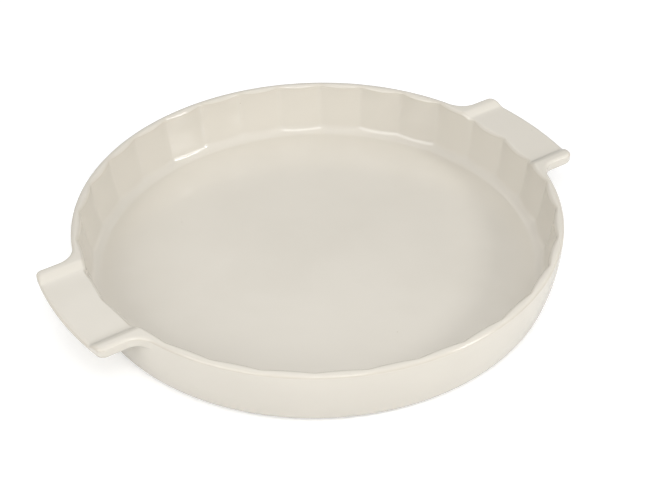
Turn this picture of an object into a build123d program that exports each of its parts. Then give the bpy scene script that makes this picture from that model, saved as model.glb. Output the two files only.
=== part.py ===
from build123d import *
import os
from math import asin, atan2, cos, degrees, hypot, pi, sin, sqrt, tan

# A round fluted pie dish with two tab handles. All sizes are in millimetres.
# The origin is where the dish's axis meets the table, +X runs through the right handle, +Z is up.

# Whole dish: the lip's outer edge, the outer wall's line carried down to the foot's top, the height
rim_diameter = 300.0
base_diameter = 286.6
dish_height = 40.0

# Wall and floor: the wall is measured level, without its flutes, and it bows outwards a little
wall_thickness = 5.0
wall_bow = 1.9
floor_thickness = 4.3
floor_blend = 7.0
heel_round = 7.0

# Flutes of the inner wall, one of them centred on each handle: the depth is from flute to ridge, and
# the share of a second wave narrows the flutes and broadens the ridges
flute_count = 32
flute_depth = 2.2
flute_share = 0.2

# Unglazed ring that the dish stands on, set in from the base's edge
foot_inset = 13.3
foot_width = 8.0
foot_height = 1.0
foot_round = 0.4

# Handles: the reach is measured outwards from the lip, the plate drops below the two ridges beside it,
# and the corner is the round that is left at the underside
handle_reach = 23.2
handle_width = 84.0
handle_thickness = 6.8
handle_end_curve = 205.0
handle_blend = 14.0
handle_corner = 4.0
ridge_width = 8.4
ridge_slope = 2.6
plate_drop = 2.8
crease_round = 2.5
lip_run = 6.0

# Rounding of every upper edge of the lip and handles, and the most of the lip that it may take
edge_round = 1.5
round_share = 0.85

# How finely the flutes, the blend and the wall are drawn, and how far a cutter runs past what it cuts
points_per_flute = 6
blend_steps = 5
wall_steps = 5
overrun = 5.0

# Sizes worked out from these
rim_radius = rim_diameter / 2
base_radius = base_diameter / 2
end_reach = rim_radius + handle_reach
floor_radius = base_radius - foot_inset
foot_radius = floor_radius - foot_width / 2
floor_top = foot_height + floor_thickness
band_bottom = dish_height - handle_thickness
plate_top = dish_height - plate_drop

# Arc of the outer wall in section, through the lip's edge and the base, and bowed between them
chord_run = rim_radius - base_radius
chord_rise = dish_height - foot_height
chord = hypot(chord_run, chord_rise)
wall_curve = chord**2 / (8 * wall_bow) + wall_bow / 2
arc_offset = (wall_curve - wall_bow) / chord
arc_r = (rim_radius + base_radius) / 2 - chord_rise * arc_offset
arc_z = (dish_height + foot_height) / 2 + chord_run * arc_offset


def outer_radius(z):
    return arc_r + sqrt(wall_curve**2 - (z - arc_z) ** 2)


def inner_radius(z):
    return outer_radius(z) - wall_thickness


# Draft of the lip and handles, which follows the wall below them, and the rounds that it allows
draft = atan2(rim_radius - outer_radius(band_bottom), handle_thickness)
tip_round = handle_corner + max(handle_thickness * tan(draft), 0)
lip_land = wall_thickness - flute_depth / 2 * (1 + flute_share)
land_per_round = 1 / tan(pi / 4 - draft / 2) + 1 / tan(pi / 4 + draft / 2)
upper_round = min(edge_round, lip_land * round_share / land_per_round, plate_drop * round_share)

# Round blend between floor and inner wall in section: its centre, and its lean where it meets the wall
blend_z = floor_top + floor_blend
blend_reach = wall_curve - floor_blend
blend_r = arc_r - wall_thickness + sqrt(blend_reach**2 - (blend_z - arc_z) ** 2)
blend_lean = asin((arc_z - blend_z) / blend_reach)


# Flute wave round the wall: outwards in a narrow flute, inwards over the broad ridge beside it
def flute_wave(angle):
    swing = cos(flute_count * angle) + flute_share * cos(2 * flute_count * angle)
    return flute_depth / 2 * swing


# Level section of the hollow: a circle with a share of the flute wave, one curve to a flute
def fluted_section(z, radius, share):
    pitch = 2 * pi / flute_count
    curves = []
    for flute in range(flute_count):
        start = pitch * (flute - 1 / 2)
        end = start + pitch
        points = []
        for step in range(points_per_flute + 1):
            angle = start + pitch * step / points_per_flute
            reach = radius + share * flute_wave(angle)
            points.append((reach * cos(angle), reach * sin(angle), z))
        ends = [(-sin(start), cos(start)), (-sin(end), cos(end))]
        curves.append(Spline(*points, tangents=ends))
    return Wire(curves)


# Hollow of the dish as one solid: flat floor, a blend in which the flutes fade, bowed fluted wall
def hollow():
    low_sections = []
    for step in range(blend_steps + 1):
        turn = pi / 2 - (pi / 2 - blend_lean) * step / blend_steps
        radius = blend_r + floor_blend * cos(turn)
        z = blend_z - floor_blend * sin(turn)
        share = cos(turn) / cos(blend_lean) if step else 0
        low_sections.append(fluted_section(z, radius, share))
    wall_start = blend_z - floor_blend * sin(blend_lean)
    wall_rise = dish_height + overrun - wall_start
    high_sections = [low_sections[-1]]
    for step in range(1, wall_steps + 1):
        z = wall_start + wall_rise * step / wall_steps
        high_sections.append(fluted_section(z, inner_radius(z), 1))
    lofts = [Solid.make_loft(sections) for sections in (low_sections, high_sections)]
    sides = [face for loft in lofts for face in loft.faces().filter_by(GeomType.BSPLINE)]
    return Solid(Shell(sides + [Face(low_sections[0]), Face(high_sections[-1])]))


# Solid of revolution round the dish's axis, from an outline in radius and height
def turned(outline):
    return revolve(Plane.XZ * outline, Axis.Z)


# Base and wall outside the floor disc, up to the handles' underside, with a rounded heel
def wall_form():
    low_out = (base_radius, foot_height)
    high_out = (outer_radius(band_bottom), band_bottom)
    middle_z = (foot_height + band_bottom) / 2
    side = ThreePointArc(low_out, (outer_radius(middle_z), middle_z), high_out)
    rest = Polyline(
        high_out,
        (0, band_bottom),
        (0, floor_top),
        (floor_radius, floor_top),
        (floor_radius, foot_height),
        low_out,
    )
    outline = make_face([side, rest])
    heel = outline.vertices().sort_by(Axis.Y)[:2].sort_by(Axis.X)[-1]
    return turned(fillet(heel, heel_round))


# Plan of the lip with both handles: a circle and a strip each way, with the corners rounded
def band_plan():
    strip = Pos(end_reach / 2, 0) * Rectangle(end_reach, handle_width)
    strip = strip & (Pos(end_reach - handle_end_curve, 0) * Circle(handle_end_curve))
    plan = Circle(rim_radius) + strip + Rot(Z=180) * strip
    middle = rim_radius + handle_reach / 2
    tips = [corner for corner in plan.vertices() if Vector(corner).length > middle]
    plan = fillet(tips, tip_round)
    roots = [corner for corner in plan.vertices() if Vector(corner).length < middle]
    return fillet(roots, handle_blend)


# Lip and handles in one block above the handles' underside, drafted like the wall below
def band_form():
    plan = Plane.XY.offset(dish_height) * band_plan()
    return extrude(plan, -handle_thickness, taper=degrees(draft))


# Half the angle of the lip that a handle takes with it: as far as its blend, and a little further
def handle_angle():
    blend_y = handle_width / 2 + handle_blend
    blend_x = sqrt((rim_radius + handle_blend) ** 2 - blend_y**2)
    return atan2(blend_y, blend_x) + lip_run / rim_radius


# Wedge about the +X axis that holds the right handle and its stretch of lip
def handle_wedge():
    reach = 2 * end_reach
    spread = reach * tan(handle_angle())
    plan = make_face(Polyline((0, 0), (reach, -spread), (reach, spread), close=True))
    return extrude(Plane.XY * plan, dish_height + overrun)


# Trough along a handle that lowers its plate between the two ridges
def plate_trough():
    plate_half = handle_width / 2 - ridge_width
    rise = plate_drop + overrun
    mouth_half = plate_half + ridge_slope * rise / plate_drop
    outline = make_face(
        Polyline(
            (-plate_half, plate_top),
            (plate_half, plate_top),
            (mouth_half, plate_top + rise),
            (-mouth_half, plate_top + rise),
            close=True,
        )
    )
    creases = outline.vertices().sort_by(Axis.Y)[:2]
    return extrude(Plane.YZ * fillet(creases, crease_round), end_reach + overrun)


# Rounds the upper edges of a stretch of lip or a handle, all but its cuts and the plate's creases
def softened(solid):
    near = plate_drop / 100
    upper_edges = []
    for edge in solid.edges():
        heights = [corner.Z for corner in edge.vertices()]
        middle = edge.center()
        straight = edge.geom_type == GeomType.LINE
        crease = straight and max(heights) < dish_height - near
        cut = straight and abs(atan2(abs(middle.Y), abs(middle.X)) - handle_angle()) < near / rim_radius
        if min(heights) > plate_top - near and not crease and not cut:
            upper_edges.append(edge)
    return solid.fillet(upper_round, upper_edges)


# Ring of bare clay under the floor, with its lower edges rounded
def foot_form():
    outline = Plane.XY * Pos(foot_radius, foot_height / 2) * Rectangle(foot_width, foot_height)
    return turned(fillet(outline.vertices().sort_by(Axis.Y)[:2], foot_round))


# The solids, each from the same hollow, band and cuts, so that they meet face to face
cavity = hollow()
band = band_form()
right_wedge = handle_wedge()
left_wedge = right_wedge.rotate(Axis.Z, 180)
lip = band - right_wedge - left_wedge - cavity
front_piece, back_piece = lip.solids().sort_by(Axis.Y)
handle_piece = ((band & right_wedge) - cavity - plate_trough()).solid()

right_handle = softened(handle_piece)
left_handle = right_handle.rotate(Axis.Z, 180)
front_lip = softened(front_piece)
back_lip = softened(back_piece)
fluted_wall = wall_form() - cavity
dish_floor = extrude(Plane.XY.offset(foot_height) * Circle(floor_radius), floor_thickness)
foot_ring = foot_form()

nodes = {
    "dish_floor": dish_floor,
    "fluted_wall": fluted_wall,
    "front_lip": front_lip,
    "back_lip": back_lip,
    "left_handle": left_handle,
    "right_handle": right_handle,
    "foot_ring": foot_ring,
}

os.makedirs("parts", exist_ok=True)
for name, solid in nodes.items():
    export_step(solid, f"parts/{name}.step")
    print(name, round(solid.volume), "mm3")
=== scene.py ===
import bpy, math
import numpy as np
from mathutils import Matrix, Vector


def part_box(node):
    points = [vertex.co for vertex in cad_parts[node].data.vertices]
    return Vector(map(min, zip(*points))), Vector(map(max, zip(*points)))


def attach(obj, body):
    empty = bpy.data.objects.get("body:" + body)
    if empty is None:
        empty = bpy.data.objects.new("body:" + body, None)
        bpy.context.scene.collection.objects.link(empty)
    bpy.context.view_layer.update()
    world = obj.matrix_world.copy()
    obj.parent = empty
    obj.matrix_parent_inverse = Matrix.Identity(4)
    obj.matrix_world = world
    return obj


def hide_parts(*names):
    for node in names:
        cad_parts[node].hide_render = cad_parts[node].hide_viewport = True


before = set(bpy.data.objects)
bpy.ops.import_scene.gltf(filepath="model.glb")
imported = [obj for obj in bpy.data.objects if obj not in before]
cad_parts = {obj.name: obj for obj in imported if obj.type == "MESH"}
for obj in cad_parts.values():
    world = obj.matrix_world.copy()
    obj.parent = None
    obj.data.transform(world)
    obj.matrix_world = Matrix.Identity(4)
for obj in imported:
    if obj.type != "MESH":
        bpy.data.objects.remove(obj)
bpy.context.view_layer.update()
print("frame loaded:", sorted(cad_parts))

# Lengths are in metres. What the frame already fixes is read from it.
floorLow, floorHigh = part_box("dish_floor")
footLow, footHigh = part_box("foot_ring")
handleLow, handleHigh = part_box("right_handle")
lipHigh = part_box("back_lip")[1]
insideRim, insideEnd = 0.00003, 0.00001   # how far lip and handle ends stay inside the solids' box

dish = {
    "height": lipHigh.z,
    "rimRadius": lipHigh.y - insideRim,
    "baseRadius": 0.1433,       # where the wall's arc would meet the underside
    "wallBow": 0.0019,          # how far the arc stands out from its chord
    "wallThick": 0.0051,        # level, to halfway between flute and ridge
    "floorTop": floorHigh.z,
    "under": floorLow.z,
    "innerSeam": floorHigh.x,   # radius where floor and wall pieces meet
    "bandSeam": 0.030,          # height where wall and lip pieces meet
    "blend": 0.0070,            # round between floor and wall
    "heel": 0.0070,             # round between wall and underside
    "edgeRadius": 0.0015,       # a round this tight gets the most of the darker edge tone, partly thin glaze and partly painted shade, or pools the glaze the most
}

flute = {
    "count": 32,
    "depth": 0.0018,            # at the lip
    "lowShare": 0.60,           # share of the depth that is left where the wall meets the blend
    "soft": 0.06,               # how rounded the bottom of a flute is, as a share of half its pitch
    "uneven": 0.10,             # share by which the depth varies round the dish
    "deepest": -0.5,            # angle where it is most, in radians
    "columns": 28,              # mesh columns to a flute
}

lip = {
    "crest": 0.1469,            # radius where the inner round ends
    "crestShare": 0.45,         # share of the flutes' wave that the crest keeps
    "outerRun": 0.0026,         # width of the outer round
    "outerFall": 0.0017,        # its height
    "seamAngle": math.pi / 8,   # where lip and handle pieces meet
}

handle = {
    "end": handleHigh.x - insideEnd,
    "endCurve": 0.205,          # radius of the end edge in plan
    "halfWidth": 0.0420,
    "blend": 0.0140,            # plan round between lip and handle side
    "corner": 0.0042,           # plan round between handle side and end
    "drop": 0.0028,             # plate below the ridges
    "ridgeMiddle": 0.0378,      # the ridge's crown, measured from the handle's middle line
    "ridgeHalf": 0.0060,        # from the crown in to where the ridge comes down to the plate
    "ridgeCurve": 2.0,          # 2 gives the ridge the section of a parabola
    "creaseSoft": 0.0012,       # height over which ridge and plate run into each other
    "under": handleLow.z,
    "underRound": 0.0022,       # round between handle side and underside
    "rootRound": 0.0030,        # round between underside and wall
    "column": 0.00028,          # mesh column along the handle's edge
    "planPoints": 6001,         # points on the plan that the columns are spaced by
}

# mesh rows of each part of the section, in the order in which the section runs
partRows = {
    "floor": 14, "shelf": 5, "blend": 18, "inner": 12, "innerBand": 6, "innerRound": 14, "top": 44,
    "outerRound": 12, "side": 4, "lowRound": 8, "underside": 8, "root": 8, "outer": 12, "heel": 14,
    "sole": 4, "underFloor": 8,
}
floorSpread = 0.8   # below 1, the floor's rows lie closer together towards the wall

# the least that each of these may be where something is divided by it
least = {"sine": 1e-6, "cross": 1e-14, "stepSquare": 1e-9}


def wallArc():
    # centre and radius of the arc through the lip's edge and the base, bowed between them
    run, rise = dish["rimRadius"] - dish["baseRadius"], dish["height"] - dish["under"]
    chord = math.hypot(run, rise)
    curve = chord ** 2 / (8 * dish["wallBow"]) + dish["wallBow"] / 2
    offset = (curve - dish["wallBow"]) / chord
    r = (dish["rimRadius"] + dish["baseRadius"]) / 2 - rise * offset
    z = (dish["height"] + dish["under"]) / 2 + run * offset
    return r, z, curve


arcR, arcZ, arcCurve = wallArc()


def fluteWave(theta):
    # 1 on a flute's centre line, -1 on a ridge: with u the distance from the flute's centre line to the
    # ridge's, from 0 to 1 and its kink softened, broad ridges are the parabola 1 - 2u(2 - u), and the
    # depth varies as a slow cosine round the dish
    turn = theta * flute["count"] / (2 * math.pi)
    u, soft = 2 * np.abs(turn - np.round(turn)), flute["soft"]
    u = (np.sqrt(u ** 2 + soft ** 2) - soft) / (math.sqrt(1 + soft ** 2) - soft)
    return (1 - 2 * u * (2 - u)) * (1 + flute["uneven"] * np.cos(theta - flute["deepest"]))


def wallOuter(z):
    # the wall's radius at a height: the arc centre's plus the root of the arc's radius squared less the
    # square of the height above that centre
    return arcR + np.sqrt(arcCurve ** 2 - (z - arcZ) ** 2)


def fluteDepth(z):
    # half the depth at a height: it grows evenly from its low share at the blend to the whole at the lip
    low = dish["floorTop"] + dish["blend"]
    rise = np.clip((z - low) / (dish["height"] - low), 0, 1)
    return flute["depth"] / 2 * (flute["lowShare"] + (1 - flute["lowShare"]) * rise)


def wallInner(theta, z):
    # the outer wall less its thickness, with the flute wave added
    return wallOuter(z) - dish["wallThick"] + fluteDepth(z) * fluteWave(theta)


def rayToCircle(c, s, x, y, radius, sign):
    # how far out the ray with cosine c and sine s meets the circle about x, y: the run up to beside its
    # centre, plus sign times the root of that run squared less the centre's distance squared plus the
    # radius squared. -1 is the near side of the circle and 1 the far side
    along = x * c + y * s
    return along + sign * np.sqrt(np.maximum(along ** 2 - x ** 2 - y ** 2 + radius ** 2, 0))


def outlineRadius(theta, inset):
    # plan of lip and handles, moved in by inset: the one of rim circle, blend arc, straight side, corner
    # arc and end arc that a ray meets, chosen by the ray's angle
    turn = np.abs((theta + math.pi / 2) % math.pi - math.pi / 2)
    c, s = np.cos(turn), np.sin(turn)
    rim, side, blend, corner = dish["rimRadius"], handle["halfWidth"], handle["blend"], handle["corner"]
    endX = handle["end"] - handle["endCurve"]
    blendY = side + blend
    blendX = math.sqrt((rim + blend) ** 2 - blendY ** 2)
    cornerY = side - corner
    cornerX = endX + math.sqrt((handle["endCurve"] - corner) ** 2 - cornerY ** 2)
    blendArc = rayToCircle(c, s, blendX, blendY, blend + inset, -1)
    cornerArc = rayToCircle(c, s, cornerX, cornerY, corner - inset, 1)
    endArc = endX * c + np.sqrt((handle["endCurve"] - inset) ** 2 - (endX * s) ** 2)
    straight = (side - inset) / np.maximum(s, least["sine"])
    share = (handle["endCurve"] - inset) / (handle["endCurve"] - corner)
    rimTurn = math.atan2(blendY, blendX)
    blendTurn = np.arctan2(side - inset, blendX)
    sideTurn = np.arctan2(side - inset, cornerX)
    cornerTurn = np.arctan2(cornerY * share, endX + (cornerX - endX) * share)
    return np.select(
        [turn >= rimTurn, turn >= blendTurn, turn >= sideTurn, turn >= cornerTurn],
        [rim - inset + 0 * turn, blendArc, straight, cornerArc], endArc)


def topHeight(theta, r):
    # full lip height, but inside a handle the higher of plate and ridge. The ridge falls from its crown
    # as a power of the distance inwards, and the two are joined by half the sum of its height over the
    # plate and the root of that height squared plus the softness squared, scaled to keep the full height
    y = np.abs(r * np.sin(theta))
    drop, soft = handle["drop"], handle["creaseSoft"]
    fall = np.clip((handle["ridgeMiddle"] - y) / handle["ridgeHalf"], 0, None)
    over = drop * (1 - fall ** handle["ridgeCurve"])
    joined = (over + np.sqrt(over ** 2 + soft ** 2)) / (drop + math.hypot(drop, soft))
    return dish["height"] - drop + drop * joined


def ramp(part, first=1):
    # even steps from 0 to 1 over a part's rows. The 0 is left out, because the part before ends with it,
    # unless first is 0
    return np.linspace(0, 1, partRows[part] + 1)[None, first:]


def skin(theta):
    # section of the dish in the half plane at each angle, from the floor's middle, up the inner wall,
    # over the lip or handle, down the outer wall and under the dish to the middle again. A round is its
    # radius times one less the sine and one less the cosine of an angle that goes through a quarter turn
    t = theta[:, None]
    rows = []

    def add(name, r, z):
        r, z = np.broadcast_arrays(r + 0 * t, z + 0 * t)
        rows.append((name, r, z))

    # floor, as far as the blend
    blend, thick = dish["blend"], dish["wallThick"]
    blendZ = dish["floorTop"] + blend
    blendR = arcR - thick + math.sqrt((arcCurve - blend) ** 2 - (blendZ - arcZ) ** 2)
    lean = math.asin((arcZ - blendZ) / (arcCurve - blend))
    add("floor", dish["innerSeam"] * ramp("floor", 0) ** floorSpread, dish["floorTop"])
    add("shelf", dish["innerSeam"] + (blendR - dish["innerSeam"]) * ramp("shelf"), dish["floorTop"])
    # round blend, in which the flutes grow
    turn = math.pi / 2 - (math.pi / 2 - lean) * ramp("blend")
    wave = (np.cos(turn) / math.cos(lean)) ** 2 * fluteDepth(dish["floorTop"]) * fluteWave(t)
    add("blend", blendR + blend * np.cos(turn) + wave, blendZ - blend * np.sin(turn))
    # inner wall up to the piece seam, then up to the lip's inner round
    wallStart = blendZ - blend * math.sin(lean)
    z = wallStart + (dish["bandSeam"] - wallStart) * ramp("inner")
    add("inner", wallInner(t, z), z)
    edge = wallInner(t, dish["height"])
    crest = lip["crest"] + lip["crestShare"] * flute["depth"] / 2 * fluteWave(t)
    small = crest - edge
    roundZ = topHeight(t, edge) - small
    z = dish["bandSeam"] + (roundZ - dish["bandSeam"]) * ramp("innerBand")
    add("innerBand", wallInner(t, z), z)
    beta = math.pi / 2 * ramp("innerRound")
    r = edge + small * (1 - np.cos(beta))
    add("innerRound", r, topHeight(t, r) - small * (1 - np.sin(beta)))
    # top, from the inner round to the outer round
    run, fall = lip["outerRun"], lip["outerFall"]
    r = crest + (outlineRadius(t, run) - crest) * ramp("top")
    add("top", r, topHeight(t, r))
    beta = math.pi / 2 * (1 - ramp("outerRound"))
    r = outlineRadius(t, run * (1 - np.cos(beta)))
    add("outerRound", r, topHeight(t, r) - fall * (1 - np.sin(beta)))
    # side face, underside and root of a handle, which close up to nothing where there is none
    reach = outlineRadius(t, 0) - dish["rimRadius"]
    sideTop = topHeight(t, outlineRadius(t, 0)) - fall
    lowRound, rootRound, under = handle["underRound"], handle["rootRound"], handle["under"]
    shrink = np.clip(reach / (lowRound + rootRound), 0, 1)
    z = sideTop + (under + lowRound - sideTop) * ramp("side")
    add("side", wallOuter(z) + reach, z)
    beta = math.pi / 2 * ramp("lowRound")
    z = under + lowRound * (1 - np.sin(beta))
    add("lowRound", wallOuter(z) + reach - shrink * lowRound * (1 - np.cos(beta)), z)
    span = np.maximum(reach - shrink * (lowRound + rootRound), 0)
    add("underside", wallOuter(under) + reach - shrink * lowRound - span * ramp("underside"), under)
    beta = math.pi / 2 * ramp("root")
    z = under - rootRound * (1 - np.cos(beta))
    add("root", wallOuter(z) + shrink * rootRound * (1 - np.sin(beta)), z)
    add("outerBand", wallOuter(dish["bandSeam"]), dish["bandSeam"])
    # outer wall, heel and underside
    heel = dish["heel"]
    heelZ = dish["under"] + heel
    heelR = arcR + math.sqrt((arcCurve - heel) ** 2 - (heelZ - arcZ) ** 2)
    lean = math.asin((arcZ - heelZ) / (arcCurve - heel))
    heelTop = heelZ - heel * math.sin(lean)
    z = dish["bandSeam"] + (heelTop - dish["bandSeam"]) * ramp("outer")
    add("outer", wallOuter(z), z)
    beta = lean + (math.pi / 2 - lean) * ramp("heel")
    add("heel", heelR + heel * np.cos(beta), heelZ - heel * np.sin(beta))
    add("sole", heelR + (dish["innerSeam"] - heelR) * ramp("sole"), dish["under"])
    add("underFloor", dish["innerSeam"] * (1 - ramp("underFloor")), dish["under"])

    names = np.concatenate([[name] * r.shape[1] for name, r, z in rows])
    r = np.concatenate([r for name, r, z in rows], axis=1)
    z = np.concatenate([z for name, r, z in rows], axis=1)
    points = np.stack([r * np.cos(t), r * np.sin(t), z], axis=2)
    return points, names


def skinWithNormals(theta):
    # the skin one column further each way, the cross product of its two central differences, and its bend
    step = theta[1] - theta[0], theta[-1] - theta[-2]
    wide = np.concatenate([[theta[0] - step[0]], theta, [theta[-1] + step[1]]])
    points, names = skin(wide)
    down, across = np.gradient(points, axis=1), np.gradient(points, axis=0)
    normals = np.cross(down, across)
    length = np.linalg.norm(normals, axis=2, keepdims=True)
    normals = np.where(length > least["cross"], normals / np.maximum(length, least["cross"]), 0)
    normals[:, 0] = (0, 0, 1)
    normals[:, -1] = (0, 0, -1)
    # how far the surface bends each way: the turn of the normal along a step over the step's square
    bend = 0
    for steps, axis in ((across, 0), (down, 1)):
        turn = np.gradient(normals, axis=axis)
        bend = bend + (steps * turn).sum(2) / np.maximum((steps ** 2).sum(2), least["stepSquare"])
    return (points[1:-1], normals[1:-1], bend[1:-1]), names


def makeMesh(name, grids, ring, loop=True, poles=False):
    # quads over the grids of columns and rows. ring joins the last column to the first, where without it
    # a flat face closes each end. loop joins the last row to the first with a flat strip, and poles makes
    # one point of the first row and of the last
    points, normals, bend = grids
    columns, rows = points.shape[:2]
    index = np.arange(columns * rows).reshape(columns, rows)
    if poles:
        index[:, 0] = index[0, 0]
        index[:, -1] = index[0, -1]
    a, b = (index, np.roll(index, -1, axis=0)) if ring else (index[:-1], index[1:])
    quads = np.stack([a[:, :-1], a[:, 1:], b[:, 1:], b[:, :-1]], axis=2).reshape(-1, 4)
    smoothFaces, flatFaces = [quads], []
    if poles:
        first, last = quads[:, 0] == quads[:, 3], quads[:, 1] == quads[:, 2]
        smoothFaces = [quads[~first & ~last], quads[first][:, :3], quads[last][:, [0, 1, 3]]]
    if loop:
        flatFaces.append(np.stack([a[:, -1], a[:, 0], b[:, 0], b[:, -1]], axis=1))
    if not ring:
        flatFaces += [index[:1, ::-1], index[-1:]]
    # points that no face uses are left out, and the faces count the others
    used = np.unique(np.concatenate([faces.ravel() for faces in smoothFaces + flatFaces]))
    remap = np.full(columns * rows, -1)
    remap[used] = np.arange(len(used))
    smoothFaces = sum((remap[faces].tolist() for faces in smoothFaces), [])
    flatFaces = sum((remap[faces].tolist() for faces in flatFaces), [])
    mesh = bpy.data.meshes.new(name)
    mesh.from_pydata(points.reshape(-1, 3)[used], [], smoothFaces + flatFaces)
    smooth = np.arange(len(mesh.polygons)) < len(smoothFaces)
    mesh.polygons.foreach_set("use_smooth", smooth)
    mesh.update()
    # a smooth face's corners get the surface's normals, a flat face's corners its own
    corners = np.empty(len(mesh.loops), np.int32)
    mesh.loops.foreach_get("vertex_index", corners)
    sides = np.empty(len(mesh.polygons), np.int32)
    mesh.polygons.foreach_get("loop_total", sides)
    faceNormals = np.empty(len(mesh.polygons) * 3, np.float32)
    mesh.polygons.foreach_get("normal", faceNormals)
    flatNormals = np.repeat(faceNormals.reshape(-1, 3), sides, axis=0)
    surfaceNormals = normals.reshape(-1, 3)[used][corners]
    cornerNormals = np.where(np.repeat(smooth, sides)[:, None], surfaceNormals, flatNormals)
    mesh.normals_split_custom_set(cornerNormals.tolist())
    # edges are above 0 and hollows below: edges take a darker tone, partly thin glaze and partly painted
    # shade, and hollows the pooled glaze's tone
    edge = mesh.attributes.new("edge", "FLOAT", "POINT")
    share = np.clip(bend.reshape(-1)[used] * dish["edgeRadius"], -1, 1)
    edge.data.foreach_set("value", share.astype(np.float32))
    piece = bpy.data.objects.new(name, mesh)
    bpy.context.scene.collection.objects.link(piece)
    return piece


def rowSpan(names, first, last):
    # rows from the last one before the first named part to the last of the last named part
    start = max(int(np.argmax(names == first)) - 1, 0)
    return slice(start, len(names) - int(np.argmax(names[::-1] == last)))


def cut(grids, rows, columns=slice(None)):
    # the same rows and columns of each grid
    return [grid[columns][:, rows] for grid in grids]


def handleColumns(middle):
    # angles at even steps of length along the plan of one handle: the length is the sum of the short
    # steps between close points of the plan, and the angle is read from it between those points
    fine = np.linspace(-lip["seamAngle"], lip["seamAngle"], handle["planPoints"])
    r = outlineRadius(fine, 0.0)
    steps = np.hypot(np.diff(r * np.cos(fine)), np.diff(r * np.sin(fine)))
    length = np.concatenate([[0], np.cumsum(steps)])
    count = int(length[-1] / handle["column"])
    return middle + np.interp(np.linspace(0, length[-1], count + 1), length, fine)


# The glazed pieces, cut from one skin
columnCount = flute["count"] * flute["columns"]
around = 2 * math.pi * np.arange(columnCount) / columnCount
grids, names = skinWithNormals(around)
floorRows = np.r_[rowSpan(names, "floor", "floor"), rowSpan(names, "underFloor", "underFloor")]
wallRows = np.r_[rowSpan(names, "shelf", "inner"), rowSpan(names, "outer", "sole")]
bandRows = rowSpan(names, "innerBand", "outerBand")
pieces = {
    "dish_floor": makeMesh("dishFloor", cut(grids, floorRows), ring=True, loop=False, poles=True),
    "fluted_wall": makeMesh("flutedWall", cut(grids, wallRows), ring=True),
}
seamColumn = int(round(lip["seamAngle"] / around[1]))
half = columnCount // 2
for node, name, turned in (("back_lip", "backLip", 0), ("front_lip", "frontLip", half)):
    columns = (turned + np.arange(seamColumn, half - seamColumn + 1)) % columnCount
    pieces[node] = makeMesh(name, cut(grids, bandRows, columns), ring=False)
for node, name, middle in (("right_handle", "rightHandle", 0.0), ("left_handle", "leftHandle", math.pi)):
    handleGrids = skinWithNormals(handleColumns(middle))[0]
    pieces[node] = makeMesh(name, cut(handleGrids, bandRows), ring=False)
print("glazed pieces made:", {k: len(v.data.polygons) for k, v in pieces.items()})


foot = {
    "width": 0.008,
    "round": 0.0004,
    "roundPoints": 6,           # mesh points over each round
}


def footRing():
    # a flat band with two small rounds, turned about the axis
    outer, inner = footHigh.x, footHigh.x - foot["width"]
    low, high, soft = footLow.z, footHigh.z, foot["round"]
    phi = np.linspace(0, math.pi / 2, foot["roundPoints"])
    lessCosine, lessSine = soft * (1 - np.cos(phi)), soft * (1 - np.sin(phi))
    r = np.concatenate([[inner], inner + lessCosine, outer - lessSine, [outer]])
    z = np.concatenate([[high], low + lessSine, low + lessCosine, [high]])
    t = around[:, None]
    ring = np.stack([r * np.cos(t), r * np.sin(t), z + 0 * t], axis=2)
    normal = np.cross(np.gradient(ring, axis=1), np.roll(ring, -1, 0) - np.roll(ring, 1, 0))
    normal = normal / np.linalg.norm(normal, axis=2, keepdims=True)
    return makeMesh("footRing", (ring, normal, 0 * ring[:, :, 0]), ring=True)


pieces["foot_ring"] = footRing()
print("foot ring made:", len(pieces["foot_ring"].data.polygons))

# The grain group's inputs, by the name that each has in a material's look
grainInputs = {"cloud": "Cloud Scale", "grain": "Grain Scale", "pits": "Pit Scale", "pitSize": "Pit Size"}
noiseDetail = {"Cloud": 3.0, "Grain": 2.0}   # finer layers in each noise
emptyCells = 0.75                            # share of the cells that have no pit


def makeGrainGroup():
    # a clouded tone, a fine grain and small round pits, shared by glaze and clay
    group = bpy.data.node_groups.new("stonewareGrain", "ShaderNodeTree")
    for name in grainInputs.values():
        group.interface.new_socket(name, in_out="INPUT", socket_type="NodeSocketFloat")
    for name in ("Cloud", "Grain", "Pits"):
        group.interface.new_socket(name, in_out="OUTPUT", socket_type="NodeSocketFloat")
    nodes, links = group.nodes, group.links
    inside, outside = nodes.new("NodeGroupInput"), nodes.new("NodeGroupOutput")
    place = nodes.new("ShaderNodeTexCoord")
    for name, detail in noiseDetail.items():
        noise = nodes.new("ShaderNodeTexNoise")
        noise.inputs["Detail"].default_value = detail
        links.new(place.outputs["Object"], noise.inputs["Vector"])
        links.new(inside.outputs[name + " Scale"], noise.inputs["Scale"])
        links.new(noise.outputs["Fac"], outside.inputs[name])
    # a pit is where the distance to the nearest cell centre falls under its size, in one cell out of a few
    cells = nodes.new("ShaderNodeTexVoronoi")
    links.new(place.outputs["Object"], cells.inputs["Vector"])
    links.new(inside.outputs["Pit Scale"], cells.inputs["Scale"])
    near = nodes.new("ShaderNodeMapRange")
    near.interpolation_type = "SMOOTHSTEP"
    links.new(cells.outputs["Distance"], near.inputs["Value"])
    links.new(inside.outputs["Pit Size"], near.inputs["From Max"])
    near.inputs["To Min"].default_value, near.inputs["To Max"].default_value = 1, 0
    some = nodes.new("ShaderNodeMath")
    some.operation = "GREATER_THAN"
    some.inputs[1].default_value = emptyCells
    split = nodes.new("ShaderNodeSeparateColor")
    links.new(cells.outputs["Color"], split.inputs["Color"])
    links.new(split.outputs["Red"], some.inputs[0])
    pits = nodes.new("ShaderNodeMath")
    pits.operation = "MULTIPLY"
    links.new(near.outputs["Result"], pits.inputs[0])
    links.new(some.outputs[0], pits.inputs[1])
    links.new(pits.outputs[0], outside.inputs["Pits"])
    return group


def linear(colour):
    # a colour as it looks on a screen made a light level: a straight line near black, a power above it
    return tuple(c / 12.92 if c <= 0.04045 else ((c + 0.055) / 1.055) ** 2.4 for c in colour) + (1.0,)


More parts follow.
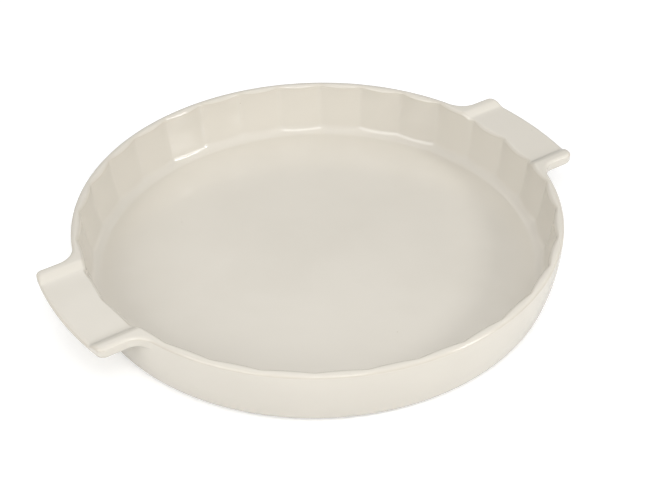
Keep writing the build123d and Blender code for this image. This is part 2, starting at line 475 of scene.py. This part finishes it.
def newMaterial(name, look, grainGroup):
    # a material with its shader, and the grain group set to the look's values
    material = bpy.data.materials.new(name)
    material.use_nodes = True
    tree = material.node_tree
    grain = tree.nodes.new("ShaderNodeGroup")
    grain.node_tree = grainGroup
    for key, socket in grainInputs.items():
        grain.inputs[socket].default_value = look[key]
    return material, tree, tree.nodes["Principled BSDF"], grain


def mapRange(tree, source, span, result=(0, 1)):
    # a value's place in a span, from 0 to 1 and held there, carried over to the result's two ends
    node = tree.nodes.new("ShaderNodeMapRange")
    tree.links.new(source, node.inputs["Value"])
    for socket, value in zip(("From Min", "From Max", "To Min", "To Max"), (*span, *result)):
        node.inputs[socket].default_value = value
    return node.outputs["Result"]


firstColour, secondColour, mixedColour = 6, 7, 2   # places of a Mix node's colour sockets


def mixColour(tree, factor, first, second):
    # the first colour where the factor is 0 and the second where it is 1, each a colour or a socket
    node = tree.nodes.new("ShaderNodeMix")
    node.data_type = "RGBA"
    tree.links.new(factor, node.inputs["Factor"])
    for socket, value in ((node.inputs[firstColour], first), (node.inputs[secondColour], second)):
        if isinstance(value, tuple):
            socket.default_value = linear(value)
        else:
            tree.links.new(value, socket)
    return node.outputs[mixedColour]


def bump(tree, height, distance, before=None):
    # the normal tilted by the slope of a height that is worth this distance, on top of the bump before
    node = tree.nodes.new("ShaderNodeBump")
    node.inputs["Distance"].default_value = distance
    tree.links.new(height, node.inputs["Height"])
    if before is not None:
        tree.links.new(before, node.inputs["Normal"])
    return node.outputs["Normal"]


# Glaze: glossy ecru, darker and browner on convex edges, partly where it thins and partly as painted
# shade, with faint clouds, ripples and pinholes
glazeLook = {
    # the first tone here, for convex edges, is darker and browner: partly thin glaze, partly painted shade
    # that dims the lip and the handle ridges
    "thinGlazeAndShade": (0.796, 0.766, 0.713), "middle": (0.853, 0.832, 0.790), "pooled": (0.860, 0.840, 0.800),
    "clouded": (0.843, 0.822, 0.779), "pinhole": (0.70, 0.66, 0.58),
    "cloud": 14.0, "grain": 420.0, "pits": 95.0, "pitSize": 0.045,   # scales in features per metre
    "ripple": 48.0, "rippleDetail": 1.0,
    "cloudSpan": (0.35, 0.65),                            # of the cloud noise, clouded to middle
    "thinGlazeAndShadeSpan": (0.45, 1.2),                              # of the edge attribute, none to all of the edge tone and its painted shade
    "pooledSpan": (-1.0, 0.0),                            # of the edge attribute, all to none
    "roughness": (0.09, 0.17), "roughSpan": (0.3, 0.7),   # of the cloud noise, smoothest to roughest
    "rippleHeight": 0.00022, "grainHeight": 0.000012, "pinholeHeight": -0.00006,
    "ior": 1.5,
}


def makeGlaze(grainGroup):
    # clouded tone, then by the edge attribute a darker, browner edge tone that is partly thin glaze and
    # partly painted shade, and the pooled glaze's tone, then pinholes
    material, tree, shader, grain = newMaterial("ecruGlaze", glazeLook, grainGroup)
    edge = tree.nodes.new("ShaderNodeAttribute")
    edge.attribute_name = "edge"
    clouds = mapRange(tree, grain.outputs["Cloud"], glazeLook["cloudSpan"])
    # painted shade with thin glaze: where the edge attribute is high, the lip and ridges turn darker and
    # browner
    thinGlazeAndShade = mapRange(tree, edge.outputs["Fac"], glazeLook["thinGlazeAndShadeSpan"])
    pooled = mapRange(tree, edge.outputs["Fac"], glazeLook["pooledSpan"], (1, 0))
    colour = mixColour(tree, clouds, glazeLook["clouded"], glazeLook["middle"])
    colour = mixColour(tree, thinGlazeAndShade, colour, glazeLook["thinGlazeAndShade"])
    colour = mixColour(tree, pooled, colour, glazeLook["pooled"])
    colour = mixColour(tree, grain.outputs["Pits"], colour, glazeLook["pinhole"])
    tree.links.new(colour, shader.inputs["Base Color"])
    roughness = mapRange(tree, grain.outputs["Cloud"], glazeLook["roughSpan"], glazeLook["roughness"])
    tree.links.new(roughness, shader.inputs["Roughness"])
    ripple = tree.nodes.new("ShaderNodeTexNoise")
    place = tree.nodes.new("ShaderNodeTexCoord")
    tree.links.new(place.outputs["Object"], ripple.inputs["Vector"])
    ripple.inputs["Scale"].default_value = glazeLook["ripple"]
    ripple.inputs["Detail"].default_value = glazeLook["rippleDetail"]
    normal = bump(tree, ripple.outputs["Fac"], glazeLook["rippleHeight"])
    normal = bump(tree, grain.outputs["Grain"], glazeLook["grainHeight"], normal)
    normal = bump(tree, grain.outputs["Pits"], glazeLook["pinholeHeight"], normal)
    tree.links.new(normal, shader.inputs["Normal"])
    shader.inputs["IOR"].default_value = glazeLook["ior"]
    return material


# Bare clay of the foot ring: dry buff stoneware with sand grains
clayLook = {
    "light": (0.77, 0.70, 0.60), "dark": (0.68, 0.60, 0.49), "grog": (0.52, 0.43, 0.33),
    "cloud": 60.0, "grain": 1400.0, "pits": 420.0, "pitSize": 0.28,
    "cloudSpan": (0.3, 0.7),                              # of the cloud noise, dark to light
    "roughness": (0.78, 0.95), "roughSpan": (0.3, 0.7),   # of the grain noise, smoothest to roughest
    "grainHeight": 0.00018, "grogHeight": -0.0001,
}


def makeClay(grainGroup):
    # clouded tone with darker sand grains, dry and rough
    material, tree, shader, grain = newMaterial("bareClay", clayLook, grainGroup)
    clouds = mapRange(tree, grain.outputs["Cloud"], clayLook["cloudSpan"])
    colour = mixColour(tree, clouds, clayLook["dark"], clayLook["light"])
    colour = mixColour(tree, grain.outputs["Pits"], colour, clayLook["grog"])
    tree.links.new(colour, shader.inputs["Base Color"])
    roughness = mapRange(tree, grain.outputs["Grain"], clayLook["roughSpan"], clayLook["roughness"])
    tree.links.new(roughness, shader.inputs["Roughness"])
    normal = bump(tree, grain.outputs["Grain"], clayLook["grainHeight"])
    normal = bump(tree, grain.outputs["Pits"], clayLook["grogHeight"], normal)
    tree.links.new(normal, shader.inputs["Normal"])
    return material


grainGroup = makeGrainGroup()
glaze, clay = makeGlaze(grainGroup), makeClay(grainGroup)
for node, piece in pieces.items():
    bare = node == "foot_ring"
    piece.data.materials.append(clay if bare else glaze)
    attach(piece, "root")
    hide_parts(node)
print("materials set")

# Camera: the photograph's viewing angle, found from the rim, base and handle edges
cameraView = {
    "azimuth": -33.132, "elevation": 37.647, "roll": -0.752,   # degrees
    "distance": 0.8953, "sideways": 0.00882, "upwards": 0.01247,
    "focal": 1420.96, "imageWidth": 665,                       # pixels
    "sensor": 36,                                              # millimetres
    "clip": (0.05, 20),
}


def makeCamera():
    # back points from the dish to the camera at the azimuth and elevation, right and up are square to
    # it and turned by the roll, and the camera's place is so far along each of the three
    azimuth, elevation, roll = (math.radians(cameraView[k]) for k in ("azimuth", "elevation", "roll"))
    level = math.cos(elevation)
    back = Vector((math.sin(azimuth) * level, -math.cos(azimuth) * level, math.sin(elevation)))
    right = Vector((0, 0, 1)).cross(back).normalized()
    up = back.cross(right)
    right, up = math.cos(roll) * right + math.sin(roll) * up, math.cos(roll) * up - math.sin(roll) * right
    data = bpy.data.cameras.new("photoCamera")
    data.sensor_width = cameraView["sensor"]
    data.lens = cameraView["focal"] * data.sensor_width / cameraView["imageWidth"]
    data.clip_start, data.clip_end = cameraView["clip"]
    camera = bpy.data.objects.new("photoCamera", data)
    bpy.context.scene.collection.objects.link(camera)
    place = back * cameraView["distance"] + right * cameraView["sideways"] + up * cameraView["upwards"]
    turn = Matrix((right, up, back)).transposed().to_4x4()
    camera.matrix_world = Matrix.Translation(place) @ turn
    bpy.context.scene.camera = camera


makeCamera()

# Stage: pale floor, white surround, soft lamps
stageLook = {
    "floorSize": 12, "floorColour": (0.92, 0.92, 0.92), "floorRoughness": 0.9, "floorSpecular": 0.1,
    "floorLift": 0.32,                    # glow that the camera alone sees
    "worldLight": 0.68,                   # its strength from the direction where it is strongest
    "worldFrom": (-0.30, -0.52, 0.80),    # that direction
}
# each lamp's direction in degrees round and above the dish, its distance and size in metres, its watts
lamps = {
    "rightSoftbox": {"round": 306, "above": 36, "distance": 1.6, "size": 0.34, "power": 5.6},
    "topSoftbox": {"round": 243, "above": 54, "distance": 1.6, "size": 0.50, "power": 4.2},
    "leftSoftbox": {"round": 194, "above": 35, "distance": 1.6, "size": 0.90, "power": 8.8},
    "sideFill": {"round": 300, "above": 15, "distance": 1.6, "size": 0.50, "power": 4.3},
    "farFill": {"round": 60, "above": 55, "distance": 1.6, "size": 0.80, "power": 1.8},
}


def makeFloor():
    # a plane whose glow is its lift times one for the camera's rays and nothing for the others
    bpy.ops.mesh.primitive_plane_add(size=stageLook["floorSize"])
    floor = bpy.context.object
    floor.name = "paleFloor"
    material = bpy.data.materials.new("paleFloor")
    material.use_nodes = True
    tree = material.node_tree
    shader = tree.nodes["Principled BSDF"]
    shader.inputs["Base Color"].default_value = linear(stageLook["floorColour"])
    shader.inputs["Roughness"].default_value = stageLook["floorRoughness"]
    shader.inputs["Specular IOR Level"].default_value = stageLook["floorSpecular"]
    ray = tree.nodes.new("ShaderNodeLightPath")
    scale = tree.nodes.new("ShaderNodeMath")
    scale.operation = "MULTIPLY"
    scale.inputs[1].default_value = stageLook["floorLift"]
    tree.links.new(ray.outputs["Is Camera Ray"], scale.inputs[0])
    tree.links.new(scale.outputs[0], shader.inputs["Emission Strength"])
    shader.inputs["Emission Color"].default_value = (1, 1, 1, 1)
    floor.data.materials.append(material)


def makeWorld():
    # the light falls off evenly, as the cosine of the angle to its strongest direction, to none on the
    # far side, but the camera sees plain white
    world = bpy.data.worlds.new("whiteRoom")
    bpy.context.scene.world = world
    world.use_nodes = True
    tree = world.node_tree
    background = tree.nodes["Background"]
    background.inputs["Color"].default_value = (1, 1, 1, 1)
    direction = tree.nodes.new("ShaderNodeTexCoord")
    towards = tree.nodes.new("ShaderNodeVectorMath")
    towards.operation = "DOT_PRODUCT"
    tree.links.new(direction.outputs["Generated"], towards.inputs[0])
    towards.inputs[1].default_value = Vector(stageLook["worldFrom"]).normalized()
    light = mapRange(tree, towards.outputs["Value"], (-1, 1), (0, stageLook["worldLight"]))
    ray = tree.nodes.new("ShaderNodeLightPath")
    mix = tree.nodes.new("ShaderNodeMix")
    mix.data_type = "FLOAT"
    mix.inputs["B"].default_value = 1.0
    tree.links.new(light, mix.inputs["A"])
    tree.links.new(ray.outputs["Is Camera Ray"], mix.inputs["Factor"])
    tree.links.new(mix.outputs["Result"], background.inputs["Strength"])


def makeLamps():
    # square lamps that face the dish, each at its distance along its direction
    for name, value in lamps.items():
        data = bpy.data.lights.new(name, "AREA")
        data.shape = "SQUARE"
        data.size = value["size"]
        data.energy = value["power"]
        lamp = bpy.data.objects.new(name, data)
        bpy.context.scene.collection.objects.link(lamp)
        turn, rise = math.radians(value["round"]), math.radians(value["above"])
        away = Vector((math.cos(turn) * math.cos(rise), math.sin(turn) * math.cos(rise), math.sin(rise)))
        lamp.location = away * value["distance"]
        lamp.rotation_euler = away.to_track_quat("Z", "Y").to_euler()


makeFloor()
makeWorld()
makeLamps()
bpy.context.scene.view_settings.view_transform = "Standard"
print("stage, lamps and camera set")
